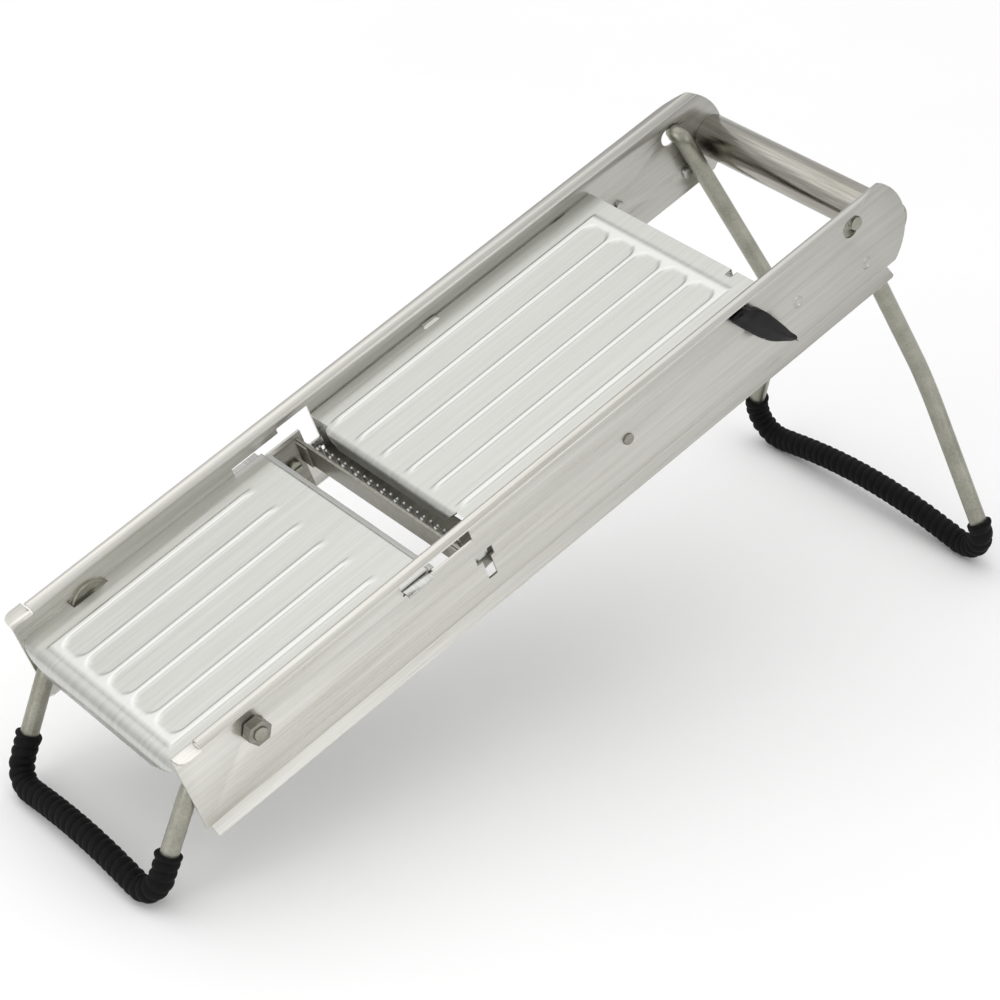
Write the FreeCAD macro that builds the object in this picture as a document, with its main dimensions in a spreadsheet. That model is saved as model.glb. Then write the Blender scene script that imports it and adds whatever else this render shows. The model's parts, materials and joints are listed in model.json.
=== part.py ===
import FreeCAD, Part
import Sketcher
import math
import os
import re

# Mandoline slicer: two side plates carry a fixed receiving table, a feed table that slides on
# ramps, a blade, two julienne combs, a tube handle and two folding wire legs.
# Every piece is drawn in the rail frame: X runs along the side plates from the low end to the
# handle, Y points to the far side, Z stands square to the receiving table, whose top is Z = 0.
# One tilt then sets the whole slicer down on its two feet, with +Z up.

V = FreeCAD.Vector
os.makedirs("parts", exist_ok=True)
doc = FreeCAD.newDocument("MandolineSlicer")
sheet = doc.addObject("Spreadsheet::Sheet", "Sizes")

sizes = {
    # side plates
    "bodyLength": 396.0, "frameWidth": 117.0, "plateThick": 1.2, "plateDrop": 33.6,
    "plateRise": 7.1, "rollRadius": 3.85, "rollStart": 11.0, "tabReach": 8.7, "lipReach": 3.54,
    "tipRadius": 27.0, "tipDrop": 12.0, "rollTaper": 26.0, "bumpWide": 5.0,
    # tables
    "tableThick": 1.0, "sideGap": 0.5, "receivingEnd": 129.5, "hemDepth": 9.0, "hemBend": 5.0,
    "feedStart": 153.5, "feedBack": 76.5, "feedRise": 1.0, "feedHem": 8.0,
    "ribWidth": 3.0, "ribHeight": 0.7, "ribPitch": 17.0, "ribCount": 6.0,
    # feed table motion
    "rampRun": 8.66, "rampFall": 5.0, "runnerSide": 41.0, "runnerThick": 1.5,
    "runnerDepth": 22.0, "pinWide": 5.0, "pinPlace": 233.5, "pinDrop": 14.5,
    "shaftWide": 6.0, "shaftBack": 88.0, "shaftDrop": 11.0, "crankThrow": 6.74, "crankPin": 4.0,
    # blade, combs and their brackets
    "bladeThick": 1.2, "bladeStart": 115.5, "bladeEdge": 132.5, "bladeTang": 3.4,
    "bladeTop": 1.3, "barPlace": 145.8, "barThick": 1.5, "barTop": 5.0, "barHigh": 12.1,
    "combThick": 1.0, "combTop": 5.6, "toothHigh": 5.4, "coarsePitch": 9.0, "finePitch": 4.5,
    "slotStart": 114.6, "slotEnd": 151.5, "slotHigh": 8.4, "slotFloor": 2.8,
    # legs and feet
    "legRod": 8.0, "legBend": 4.15, "stubRod": 6.0, "pivotFit": 0.1,
    "frontPivot": 35.0, "frontPivotDrop": 5.8, "frontUpper": 31.1, "frontUpperAngle": 164.7,
    "frontLower": 52.9, "frontLowerAngle": 132.5, "frontInset": 7.1, "frontKneeOut": 2.1,
    "frontFootOut": 1.3, "frontArch": 5.1, "frontKneeBend": 20.0, "frontFootBend": 10.6,
    "rearPivotBack": 26.0, "rearPivotDrop": 1.1,
    "rearUpper": 118.0, "rearUpperAngle": 78.8, "rearLower": 91.2, "rearLowerAngle": 99.3,
    "rearInset": 5.1, "rearKneeOut": -5.3, "rearFootOut": 31.3, "rearArch": 12.4,
    "rearKneeBend": 61.0, "rearFootBend": 14.0,
    "sleeveWall": 1.5, "frontSleeve": 21.4, "rearSleeve": 24.0,
    # handle and hardware
    "tubeWide": 19.2, "tubeWall": 1.5, "tubeBack": 7.6, "tubeDrop": 15.9,
    "nutAcross": 10.0, "nutHigh": 5.0, "bossWide": 20.0, "bossThick": 2.0,
}
for row, (name, value) in enumerate(sizes.items(), start=1):
    sheet.set(f"A{row}", name)
    sheet.set(f"B{row}", str(value))
    sheet.setAlias(f"B{row}", name)
doc.recompute()


def size(name):
    return float(sheet.get(name))


def cell(text):
    """Points every size name in a formula at the sheet."""
    names = "|".join(sizes)
    return re.sub(rf"\b({names})\b", r"Sizes.\1", text)


probe = doc.addObject("App::FeaturePython", "Probe")
probe.addProperty("App::PropertyFloat", "Value")


def value(formula):
    """What a formula comes to with the present sizes."""
    probe.setExpression("Value", cell(str(formula)))
    probe.recompute()
    return probe.Value


def bind(thing, **formulas):
    for prop, formula in formulas.items():
        thing.setExpression(prop.replace("_", "."), cell(str(formula)))
    return thing


# ---- places shared by several pieces ----
innerFace = "(frameWidth / 2 - plateThick)"
outerFace = "(frameWidth / 2)"
tableSide = "(frameWidth / 2 - plateThick - sideGap)"
rollMiddle = "(frameWidth / 2 - plateThick + rollRadius)"
feedEnd = "(bodyLength - feedBack)"
shaftPlace = "(bodyLength - shaftBack)"
rearPivot = "(bodyLength - rearPivotBack)"
tubePlace = "(bodyLength - tubeBack)"
ribFirst = "(ribPitch * (ribCount - 1) / 2)"

parts = []


def keep(thing, label):
    thing.Label = label
    parts.append(thing)
    return thing


# ---- primitives with bound sizes ----
def box(name, x, y, z, length, width, height):
    block = doc.addObject("Part::Box", name)
    bind(block, Length=length, Width=width, Height=height)
    return bind(block, Placement_Base_x=x, Placement_Base_y=y, Placement_Base_z=z)


def bar(name, x, y, z, radius, length):
    """A round bar lying along Y, from y to y + length."""
    rod = doc.addObject("Part::Cylinder", name)
    rod.Placement.Rotation = FreeCAD.Rotation(V(1, 0, 0), -90)
    bind(rod, Radius=radius, Height=length)
    return bind(rod, Placement_Base_x=x, Placement_Base_y=y, Placement_Base_z=z)


def hexBar(name, x, y, z, across, length):
    """A hexagonal bar lying along Y."""
    nut = doc.addObject("Part::Prism", name)
    nut.Polygon = 6
    nut.Placement.Rotation = FreeCAD.Rotation(V(1, 0, 0), -90)
    bind(nut, Circumradius=f"{across} / 1.7320508", Height=length)
    return bind(nut, Placement_Base_x=x, Placement_Base_y=y, Placement_Base_z=z)


def cut(name, base, tool):
    result = doc.addObject("Part::Cut", name)
    result.Base = base
    result.Tool = tool
    return result


def fuse(name, pieces):
    result = doc.addObject("Part::MultiFuse", name)
    result.Shapes = pieces
    return result


def group(name, pieces):
    result = doc.addObject("Part::Compound", name)
    result.Links = pieces
    return result


# ---- sketches on a body's own planes ----
def newBody(label):
    return keep(doc.addObject("PartDesign::Body", label), label)


def newSketch(body, role, name, offset="0"):
    """XY looks down from +Z, XZ from -Y (its offset counts toward -Y), YZ from +X."""
    sketch = body.newObject("Sketcher::SketchObject", name)
    plane = next(item for item in body.Origin.OriginFeatures if item.Role == role)
    sketch.AttachmentSupport = [(plane, "")]
    sketch.MapMode = "FlatFace"
    bind(sketch, AttachmentOffset_Base_z=offset)
    return sketch


def fix(sketch, kind, formula, *ends):
    index = sketch.addConstraint(Sketcher.Constraint(kind, *ends, value(formula)))
    bind(sketch, **{f"Constraints[{index}]": formula})


def outline(sketch, corners):
    """A closed loop of (x, y) corners; (x, y, radius, cx, cy, turn) starts an arc there."""
    spots = [V(value(corner[0]), value(corner[1]), 0) for corner in corners]
    first = sketch.GeometryCount
    starts = []
    ends = []
    for i, corner in enumerate(corners):
        here = spots[i]
        there = spots[(i + 1) % len(spots)]
        if len(corner) == 2:
            sketch.addGeometry(Part.LineSegment(here, there), False)
            starts.append((first + i, 1))
            ends.append((first + i, 2))
            continue
        centre = V(value(corner[3]), value(corner[4]), 0)
        ring = Part.Circle(centre, V(0, 0, 1), value(corner[2]))
        a = math.atan2(here.y - centre.y, here.x - centre.x)
        b = math.atan2(there.y - centre.y, there.x - centre.x)
        turning = corner[5] > 0
        arc = Part.ArcOfCircle(ring, a, b) if turning else Part.ArcOfCircle(ring, b, a)
        sketch.addGeometry(arc, False)
        starts.append((first + i, 1 if turning else 2))
        ends.append((first + i, 2 if turning else 1))
    for i in range(len(corners)):
        after = starts[(i + 1) % len(corners)]
        sketch.addConstraint(Sketcher.Constraint("Coincident", *ends[i], *after))
    for i, corner in enumerate(corners):
        fix(sketch, "DistanceX", corner[0], -1, 1, *starts[i])
        fix(sketch, "DistanceY", corner[1], -1, 1, *starts[i])
        if len(corner) > 2:
            chord = spots[(i + 1) % len(spots)] - spots[i]
            upright = abs(chord.y) > abs(chord.x)
            fix(sketch, "DistanceX" if upright else "DistanceY",
                corner[3] if upright else corner[4], -1, 1, first + i, 3)


def rectangle(sketch, x0, x1, y0, y1):
    outline(sketch, [(x0, y0), (x1, y0), (x1, y1), (x0, y1)])


def circle(sketch, x, y, radius):
    ring = Part.Circle(V(value(x), value(y), 0), V(0, 0, 1), value(radius))
    edge = sketch.addGeometry(ring, False)
    fix(sketch, "Radius", radius, edge)
    fix(sketch, "DistanceX", x, -1, 1, edge, 3)
    fix(sketch, "DistanceY", y, -1, 1, edge, 3)


def pad(body, sketch, name, length):
    """Material from the sketch along its normal."""
    feature = body.newObject("PartDesign::Pad", name)
    feature.Profile = sketch
    bind(feature, Length=length)
    body.Tip = feature
    doc.recompute()
    return feature


def pocket(body, sketch, name, length):
    """Takes material away from the sketch against its normal."""
    before = body.Shape.Volume
    feature = body.newObject("PartDesign::Pocket", name)
    feature.Profile = sketch
    bind(feature, Length=length)
    body.Tip = feature
    doc.recompute()
    if body.Shape.Volume > before - 0.01:
        raise RuntimeError(f"{body.Label}: {name} took nothing away")
    return feature


def spread(body, feature, name, count, length):
    """Repeats a feature along Y over a total length."""
    pattern = body.newObject("PartDesign::LinearPattern", name)
    pattern.Originals = [feature]
    axis = next(item for item in body.Origin.OriginFeatures if item.Role == "Y_Axis")
    pattern.Direction = (axis, [""])
    bind(pattern, Length=length, Occurrences=count)
    body.Tip = pattern
    doc.recompute()
    return pattern


# ---- side plates: one bent sheet each, near at -Y and far at +Y ----
def sidePlate(label, sign):
    def y(formula):
        return f"{sign} * {formula}"

    body = newBody(label)
    section = newSketch(body, "YZ_Plane", f"{label}_section")
    turn = -sign
    fold = "plateThick * 0.7071"
    outline(section, [
        (y(innerFace), "0 - plateDrop - plateThick * 0.4142"),
        (y(innerFace), "plateRise", "rollRadius", y(rollMiddle), "plateRise", turn),
        (y(f"({rollMiddle} + rollRadius * 0.8660)"), "plateRise + rollRadius * 0.5"),
        (y(f"({rollMiddle} + (rollRadius - plateThick) * 0.8660)"),
         "plateRise + (rollRadius - plateThick) * 0.5",
         "rollRadius - plateThick", y(rollMiddle), "plateRise", -turn),
        (y(outerFace), "plateRise"),
        (y(outerFace), "0 - plateDrop"),
        (y(f"({outerFace} + lipReach)"), "0 - plateDrop - lipReach"),
        (y(f"({outerFace} + lipReach - {fold})"), f"0 - plateDrop - lipReach - {fold}"),
    ])
    pad(body, section, f"{label}_bend", "bodyLength")

    # the sheet spans 56 to 68 from the middle plane, measured with the frame width
    skin = "frameWidth / 2 + 9.5" if sign < 0 else "0 - frameWidth / 2 + 2.5"
    tip = newSketch(body, "XZ_Plane", f"{label}_tip_outline", skin)
    tipMiddle = "bodyLength - tipRadius"
    outline(tip, [
        (tipMiddle, "tipRadius - tipDrop", "tipRadius", tipMiddle, "0 - tipDrop", -1),
        (tipMiddle, "0 - tipRadius - tipDrop"),
        (tipMiddle, "0 - plateDrop - 12"),
        ("bodyLength + 8", "0 - plateDrop - 12"),
        ("bodyLength + 8", "plateRise + 14"),
        (tipMiddle, "plateRise + 14"),
    ])
    pocket(body, tip, f"{label}_round_tip", "12")

    ends = newSketch(body, "XZ_Plane", f"{label}_end_outlines", skin)
    rectangle(ends, "bodyLength - 16", "bodyLength + 8", "0 - plateDrop - 12", "0 - plateDrop")
    rectangle(ends, "-2", "2", "0 - plateDrop - 12", "0 - plateDrop")
    rectangle(ends, "-2", "rollStart", "plateRise", "plateRise + 14")
    pocket(body, ends, f"{label}_ends", "12")

    taper = newSketch(body, "XY_Plane", f"{label}_taper_outline", "plateRise + 14")
    outline(taper, [
        ("bodyLength - 6 - rollTaper", y(f"({outerFace} + 6.2)")),
        ("bodyLength - 6 - rollTaper", y(f"({outerFace} + 9)")),
        ("bodyLength + 4", y(f"({outerFace} + 9)")),
        ("bodyLength + 4", y(outerFace)),
        ("bodyLength - 6", y(outerFace)),
    ])
    pocket(body, taper, f"{label}_taper", "plateRise + 12")

    tab = newSketch(body, "YZ_Plane", f"{label}_tab_section")
    outline(tab, [
        (y(innerFace), "plateRise - 1"),
        (y(innerFace), "plateRise + 0.4", "1.9", y(f"({innerFace} + 1.9)"), "plateRise + 0.4", turn),
        (y(f"({innerFace} + 1.9)"), "plateRise + 2.3"),
        (y(f"({innerFace} + tabReach)"), "plateRise + 2.3"),
        (y(f"({innerFace} + tabReach)"), "plateRise + 1.1"),
        (y(f"({innerFace} + 1.9)"), "plateRise + 1.1", "0.7", y(f"({innerFace} + 1.9)"),
         "plateRise + 0.4", -turn),
        (y(outerFace), "plateRise + 0.4"),
        (y(outerFace), "plateRise - 1"),
    ])
    pad(body, tab, f"{label}_tab", "rollStart - 0.6")
    corner = newSketch(body, "XY_Plane", f"{label}_tab_corner", "plateRise + 6")
    edge = y(f"({innerFace} + tabReach)")
    inset = y(f"({innerFace} + tabReach - 5)")
    beyond = y(f"({innerFace} + tabReach + 2)")
    outline(corner, [("0", inset, "5", "5", inset, turn), ("5", edge), ("5", beyond),
                     ("-2", beyond), ("-2", inset)])
    pocket(body, corner, f"{label}_tab_round", "6")

    # windows for the blade and the combs, and the holes for pivots, shaft and guide pin
    windows = newSketch(body, "XZ_Plane", f"{label}_window_outlines", skin)
    top = "slotHigh - slotFloor"
    if sign < 0:
        rectangle(windows, "slotStart", "slotEnd", "0 - slotFloor", top)
        outline(windows, [
            ("149.5", "-16"), ("152.2", "-16"), ("152.2", "-26"), ("156.6", "-26"),
            ("156.6", "-16"), ("158.5", "-16"), ("158.5", "-11.4"), ("149.5", "-11.4"),
        ])
    else:
        outline(windows, [
            ("slotStart", "0 - slotFloor"), ("149.4", "0 - slotFloor"), ("149.4", "-26"),
            ("157", "-26"), ("157", top), ("140", top), ("140", f"{top} - 2.4"),
            ("slotStart", f"{top} - 2.4"),
        ])
    for x, z, radius in (
        ("frontPivot", "0 - frontPivotDrop", "stubRod / 2 + pivotFit"),
        (rearPivot, "0 - rearPivotDrop", "stubRod / 2 + pivotFit"),
        (shaftPlace, "0 - shaftDrop", "shaftWide / 2 + pivotFit"),
        ("pinPlace", "0 - pinDrop", "pinWide / 2"),
    ):
        circle(windows, x, z, radius)
    pocket(body, windows, f"{label}_windows", "12")

    # the rear pivot hole opens into a wider one, so the bent rod can be threaded in
    keyhole = newSketch(body, "XZ_Plane", f"{label}_keyhole_outline", skin)
    circle(keyhole, f"{rearPivot} - 3.4", "0 - rearPivotDrop - 0.6", "stubRod / 2 + 1.2")
    pocket(body, keyhole, f"{label}_keyhole", "12")

    # two inward bumps that the rear leg snaps past
    face = f"{innerFace} - 1.7" if sign < 0 else f"0 - {innerFace} - 0.3"
    bumps = newSketch(body, "XZ_Plane", f"{label}_bump_outlines", face)
    circle(bumps, "bodyLength - 64.5", "-15.4", "bumpWide / 2")
    circle(bumps, f"{rearPivot}", "-24.6", "bumpWide / 2")
    pad(body, bumps, f"{label}_bumps", "2")
    return body


sidePlate("near_side_plate", -1)
sidePlate("far_side_plate", 1)


# ---- receiving table: a ribbed sheet with a rolled-down low edge ----
table = newBody("receiving_table")
plan = newSketch(table, "XY_Plane", "receiving_plan", "0 - tableThick")
notch = f"({innerFace} - 3.5)"
outline(plan, [
    ("hemBend - 1.5", f"0 - {innerFace}"), ("frontPivot - 9", f"0 - {innerFace}"),
    ("frontPivot - 9", f"0 - {notch}"), ("frontPivot + 9", f"0 - {notch}"),
    ("frontPivot + 9", f"0 - {innerFace}"), ("receivingEnd", f"0 - {innerFace}"),
    ("receivingEnd", innerFace), ("frontPivot + 9", innerFace), ("frontPivot + 9", notch),
    ("frontPivot - 9", notch), ("frontPivot - 9", innerFace), ("hemBend - 1.5", innerFace),
])
pad(table, plan, "receiving_sheet", "tableThick")
hem = newSketch(table, "XZ_Plane", "receiving_hem_section", f"0 - {innerFace} + 9")
outline(hem, [
    ("hemBend - 1.5", "0", "hemBend", "hemBend - 1.5", "0 - hemBend", 1), ("-1.5", "0 - hemBend"),
    ("-1.5", "0 - hemDepth"), ("-1.5 + tableThick", "0 - hemDepth"),
    ("-1.5 + tableThick", "0 - hemBend", "hemBend - tableThick", "hemBend - 1.5", "0 - hemBend", -1),
    ("hemBend - 1.5", "0 - tableThick"),
])
pad(table, hem, "receiving_hem", f"2 * {innerFace} - 18")
cross = newSketch(table, "XY_Plane", "receiving_cross_rib", "0 - tableThick / 2")

rectangle(cross, "6", "9.4", f"0 - {ribFirst} - ribWidth / 2", f"{ribFirst} + ribWidth / 2")
pad(table, cross, "receiving_cross", "tableThick / 2 + ribHeight")
ribs = newSketch(table, "XY_Plane", "receiving_rib", "0 - tableThick / 2")
rectangle(ribs, "9.2", "114", f"0 - {ribFirst} - ribWidth / 2", f"0 - {ribFirst} + ribWidth / 2")
rib = pad(table, ribs, "receiving_first_rib", "tableThick / 2 + ribHeight")
spread(table, rib, "receiving_ribs", "ribCount", "ribPitch * (ribCount - 1)")

# ---- feed table: slides down its ramps to set the slice thickness ----
feed = newBody("feed_table")
plan = newSketch(feed, "XY_Plane", "feed_plan", "feedRise - tableThick")
outline(plan, [
    ("feedStart + 1", f"0 - {tableSide} + 2"), ("feedStart + 3", f"0 - {tableSide}"),
    (feedEnd, f"0 - {tableSide}"), (feedEnd, tableSide), ("feedStart + 3", tableSide),
    ("feedStart + 1", f"{tableSide} - 2"),
])
pad(feed, plan, "feed_sheet", "tableThick")
hem = newSketch(feed, "XZ_Plane", "feed_hem_section", f"0 - {tableSide} + 9")
outline(hem, [
    ("feedStart", "feedRise"), ("feedStart", "feedRise - feedHem"),
    ("feedStart + tableThick", "feedRise - feedHem"), ("feedStart + tableThick", "feedRise - 1"),
    ("feedStart + 3", "feedRise - 1"), ("feedStart + 3", "feedRise"),
])
pad(feed, hem, "feed_hem", f"2 * {tableSide} - 18")
back = newSketch(feed, "XZ_Plane", "feed_back_section", f"0 - {tableSide} + 4")
rectangle(back, f"{feedEnd} - 1", feedEnd, "feedRise - 4.5", "feedRise")
pad(feed, back, "feed_back_hem", f"2 * {tableSide} - 8")
gapSketch = newSketch(feed, "XY_Plane", "feed_notch_outline", "feedRise + 1")
rectangle(gapSketch, f"{feedEnd} - 3", f"{feedEnd} + 1", "-38.8", "-34.8")
pocket(feed, gapSketch, "feed_notch", "8")
cross = newSketch(feed, "XY_Plane", "feed_cross_rib", "feedRise - tableThick / 2")
rectangle(cross, f"{feedEnd} - 12.4", f"{feedEnd} - 8.8",
          f"0 - {ribFirst} - ribWidth / 2", f"{ribFirst} + ribWidth / 2")
for side in ("0 - 1 *", "1 *"):
    rectangle(cross, "219.5", "228", f"{side} ({tableSide} - 2.4)", f"{side} {tableSide}")
pad(feed, cross, "feed_cross", "tableThick / 2 + ribHeight")
ribs = newSketch(feed, "XY_Plane", "feed_rib", "feedRise - tableThick / 2")
rectangle(ribs, "feedStart + 3.5", f"{feedEnd} - 16",
          f"0 - {ribFirst} - ribWidth / 2", f"0 - {ribFirst} + ribWidth / 2")
rib = pad(feed, ribs, "feed_first_rib", "tableThick / 2 + ribHeight")
spread(feed, rib, "feed_ribs", "ribCount", "ribPitch * (ribCount - 1)")


# ---- runners: slotted strips under the feed table that ride on the two guide pins ----
def runner(label, sign):
    body = newBody(label)
    offset = "runnerSide - runnerThick / 2" if sign < 0 else "0 - runnerSide - runnerThick / 2"
    plan = newSketch(body, "XZ_Plane", f"{label}_outline", offset)
    outline(plan, [
        ("feedStart + 12", "feedRise - tableThick"), ("feedStart + 12", "-9"),
        ("feedStart + 25", "0 - runnerDepth"), (f"{feedEnd} - 3.5", "0 - runnerDepth"),
        (f"{feedEnd} - 3.5", "feedRise - tableThick"),
    ])
    pad(body, plan, f"{label}_strip", "runnerThick")
    slots = newSketch(body, "XZ_Plane", f"{label}_slot_outlines", "runnerSide + 4" if sign < 0
                      else "0 - runnerSide + 4")
    for x, z, half in (("pinPlace", "0 - pinDrop", "pinWide / 2 + 0.35"),
                       (shaftPlace, "0 - shaftDrop", "shaftWide / 2 + 0.4")):
        # a straight slot up the ramp with round ends, across the ramp by half its width
        ex = f"({half}) * rampFall / 10"
        ez = f"({half}) * rampRun / 10"
        outline(slots, [
            (f"{x} + {ex}", f"{z} + {ez}"),
            (f"{x} - rampRun + {ex}", f"{z} + rampFall + {ez}", half,
             f"{x} - rampRun", f"{z} + rampFall", 1),
            (f"{x} - rampRun - {ex}", f"{z} + rampFall - {ez}"),
            (f"{x} - {ex}", f"{z} - {ez}", half, x, z, 1),
        ])
    pocket(body, slots, f"{label}_ramps", "8")
    window = newSketch(body, "XZ_Plane", f"{label}_window_outline", "runnerSide + 4" if sign < 0
                       else "0 - runnerSide + 4")
    pinLine = f"{shaftPlace} - rampRun / 2"
    rectangle(window, f"{pinLine} - crankPin / 2 - 0.5", f"{pinLine} + crankPin / 2 + 0.5",
              "0 - shaftDrop - crankThrow - 1", "0 - shaftDrop + 2.4")
    pocket(body, window, f"{label}_window", "8")


runner("near_runner", -1)
runner("far_runner", 1)

# ---- blade and what carries it ----
blade = newBody("slicing_blade")
edgeSection = newSketch(blade, "XZ_Plane", "blade_section", "0 - frameWidth / 2 + 1.8")
outline(edgeSection, [
    ("bladeStart", "0 - bladeTop"), ("bladeStart", "0 - bladeTop - bladeThick"),
    ("bladeEdge - 0.4", "0 - bladeTop - bladeThick"), ("bladeEdge", "0 - bladeTop - bladeThick + 0.25"),
    ("bladeEdge - 3.6", "0 - bladeTop"),
])
pad(blade, edgeSection, "blade_strip", "frameWidth - 3.6")
tang = newSketch(blade, "XY_Plane", "blade_tang_plan", "0 - bladeTop - bladeThick")
rectangle(tang, "bladeStart", "bladeEdge - 4", "0 - frameWidth / 2 - bladeTang",
          "frameWidth / 2 + bladeTang")
pad(blade, tang, "blade_tangs", "bladeThick")

for side, sign in (("near", -1), ("far", 1)):
    start = "0 - frameWidth / 2 + plateThick" if sign < 0 else f"{innerFace} - 11"
    rest = box(f"{side}_rest", "116", start, "0 - slotFloor - 1.2", "15", "11", "1.2")
    keep(group(f"{side}_rest_group", [rest]), f"{side}_blade_rest")

combBar = box("comb_strip", "barPlace", f"0 - {innerFace}", "0 - barTop - barHigh",
              "barThick", f"2 * {innerFace}", "barHigh")
keep(group("comb_bar_group", [combBar]), "comb_bar")

for side, sign in (("near", -1), ("far", 1)):
    bracket = newBody(f"{side}_comb_bracket")
    offset = f"{innerFace} - 1.5" if sign < 0 else f"0 - {innerFace}"
    plan = newSketch(bracket, "XZ_Plane", f"{side}_bracket_outline", offset)
    outline(plan, [
        ("133", "-5.5"), ("133", "-30"), ("136", "-33"), ("barPlace", "-33"), ("barPlace", "-5.5"),
    ])
    circle(plan, "139.8", "-15.8", "1.75")
    pad(bracket, plan, f"{side}_bracket_sheet", "1.5")
    offset = f"{innerFace} - 9" if sign < 0 else f"0 - {innerFace} + 1.5"
    flange = newSketch(bracket, "XZ_Plane", f"{side}_bracket_flange", offset)
    rectangle(flange, "barPlace - 1.2", "barPlace", "-16.5", "-5.5")
    pad(bracket, flange, f"{side}_bracket_fold", "7.5")

screws = []
for side, sign in (("near", -1), ("far", 1)):
    inner = f"{sign} * ({innerFace} - 1.5)"
    shankStart = f"0 - {innerFace}" if sign < 0 else f"{innerFace} - 1.5"
    shank = bar(f"{side}_screw_shank", "139.8", shankStart, "-15.8", "1.75", "1.5")
    headStart = f"0 - {innerFace} + 1.5" if sign < 0 else f"{innerFace} - 3.7"
    head = bar(f"{side}_screw_head", "139.8", headStart, "-15.8", "3.2", "2.2")
    slotStart = f"0 - {innerFace} + 2.9" if sign < 0 else f"{innerFace} - 4.7"
    slot = box(f"{side}_screw_slot", "137", slotStart, "-16.3", "5.6", "1.8", "1")
    screws.append(cut(f"{side}_screw_cut", fuse(f"{side}_screw_body", [shank, head]), slot))
keep(group("screw_pair", screws), "bracket_screws")


# ---- julienne combs: toothed strips that lift behind the blade ----
def comb(label, start, pitch, tooth):
    body = newBody(label)
    count = 2 * int(value(f"({innerFace} - 6.3) / {pitch}")) + 1
    plan = newSketch(body, "YZ_Plane", f"{label}_outline", start)
    half = f"({innerFace} - 0.8)"
    rectangle(plan, f"0 - {half}", half, "-18", "0 - combTop - toothHigh")
    pad(body, plan, f"{label}_strip", "combThick")
    teeth = newSketch(body, "YZ_Plane", f"{label}_tooth", start)
    first = f"0 - {pitch} * {(count - 1) / 2}"
    outline(teeth, [
        (f"{first} - {tooth} / 2", "0 - combTop - toothHigh - 0.5"),
        (f"{first} + {tooth} / 2", "0 - combTop - toothHigh - 0.5"),
        (f"{first} + {tooth} / 2", "0 - combTop - 0.8"), (first, "0 - combTop"),
        (f"{first} - {tooth} / 2", "0 - combTop - 0.8"),
    ])
    one = pad(body, teeth, f"{label}_first_tooth", "combThick")
    spread(body, one, f"{label}_teeth", str(count), f"{pitch} * {count - 1}")
    return body


comb("coarse_comb", "147.8", "coarsePitch", "2")
fine = comb("fine_comb", "149.3", "finePitch", "1.2")
lugs = newSketch(fine, "XY_Plane", "fine_lug_plan", "-16")
for side in ("0 - 1 *", "1 *"):
    rectangle(lugs, "149.6", "156.8", f"{side} ({innerFace} - 2)", f"{side} ({innerFace} - 0.8)")
pad(fine, lugs, "fine_lugs", "4.4")

# ---- guide pins, shaft, cranks and lever ----
pins = []
for side, start in (("near", "0 - frameWidth / 2 - 0.6"), ("far", "runnerSide - 2")):
    reach = "frameWidth / 2 + 0.6 - runnerSide + 2"
    pins.append(bar(f"{side}_pin", "pinPlace", start, "0 - pinDrop", "pinWide / 2", reach))
keep(group("pin_pair", pins), "guide_pins")

shaft = bar("shaft_rod", shaftPlace, "0 - frameWidth / 2 - 7", "0 - shaftDrop", "shaftWide / 2",
            "frameWidth + 10")
keep(group("shaft_group", [shaft]), "adjuster_shaft")
ring = bar("ring_disc", shaftPlace, "frameWidth / 2 + 0.4", "0 - shaftDrop", "5", "1.2")
hole = bar("ring_hole", shaftPlace, "frameWidth / 2 - 1", "0 - shaftDrop", "shaftWide / 2", "5")
keep(cut("ring_cut", ring, hole), "shaft_ring")

for side, sign in (("near", -1), ("far", 1)):
    hubStart = "0 - runnerSide + 2" if sign < 0 else "runnerSide - 4"
    hub = bar(f"{side}_crank_hub", shaftPlace, hubStart, "0 - shaftDrop", "4.7", "2")
    arm = box(f"{side}_crank_arm", f"{shaftPlace} - rampRun / 2 - 2.6", hubStart,
              "0 - shaftDrop - rampFall - 2", "7", "2", "7")
    pinStart = "0 - runnerSide - 1.5" if sign < 0 else "runnerSide - 2.5"
    peg = bar(f"{side}_crank_peg", f"{shaftPlace} - rampRun / 2", pinStart,
              "0 - shaftDrop - rampFall * 1.0326", "crankPin / 2", "4")
    tip = bar(f"{side}_crank_tip", f"{shaftPlace} - rampRun / 2", hubStart,
              "0 - shaftDrop - rampFall * 1.0326", "3", "2")
    bore = bar(f"{side}_crank_bore", shaftPlace, f"{hubStart} - 1", "0 - shaftDrop",
               "shaftWide / 2", "4")
    solid = fuse(f"{side}_crank_solid", [hub, arm, tip, peg])
    keep(cut(f"{side}_crank_cut", solid, bore), f"{side}_crank")

lever = newBody("thickness_lever")
plan = newSketch(lever, "XZ_Plane", "lever_outline", "frameWidth / 2 + 1")
dx = shaftPlace
dz = "0 - shaftDrop"
outline(plan, [
    (f"{dx} - 10.4", f"{dz} + 12.2"), (f"{dx} - 8.6", f"{dz} + 5"), (f"{dx} - 4.6", f"{dz} - 1.6"),
    (f"{dx} + 1.6", f"{dz} - 7.6"), (f"{dx} + 8.6", f"{dz} - 12.6"), (f"{dx} + 13.2", f"{dz} - 15.6"),
    (f"{dx} + 15", f"{dz} - 14"), (f"{dx} + 12", f"{dz} - 8.6"), (f"{dx} + 7.6", f"{dz} - 1"),
    (f"{dx} + 3.4", f"{dz} + 7.4"), (f"{dx} - 3", f"{dz} + 15"), (f"{dx} - 7", f"{dz} + 15"),
])
pad(lever, plan, "lever_leaf", "6")
knob = newSketch(lever, "XZ_Plane", "lever_hub_outline", "frameWidth / 2 + 1")
circle(knob, dx, dz, "5")
pad(lever, knob, "lever_hub", "6")
bore = newSketch(lever, "XZ_Plane", "lever_bore_outline", "frameWidth / 2 + 10")
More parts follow.
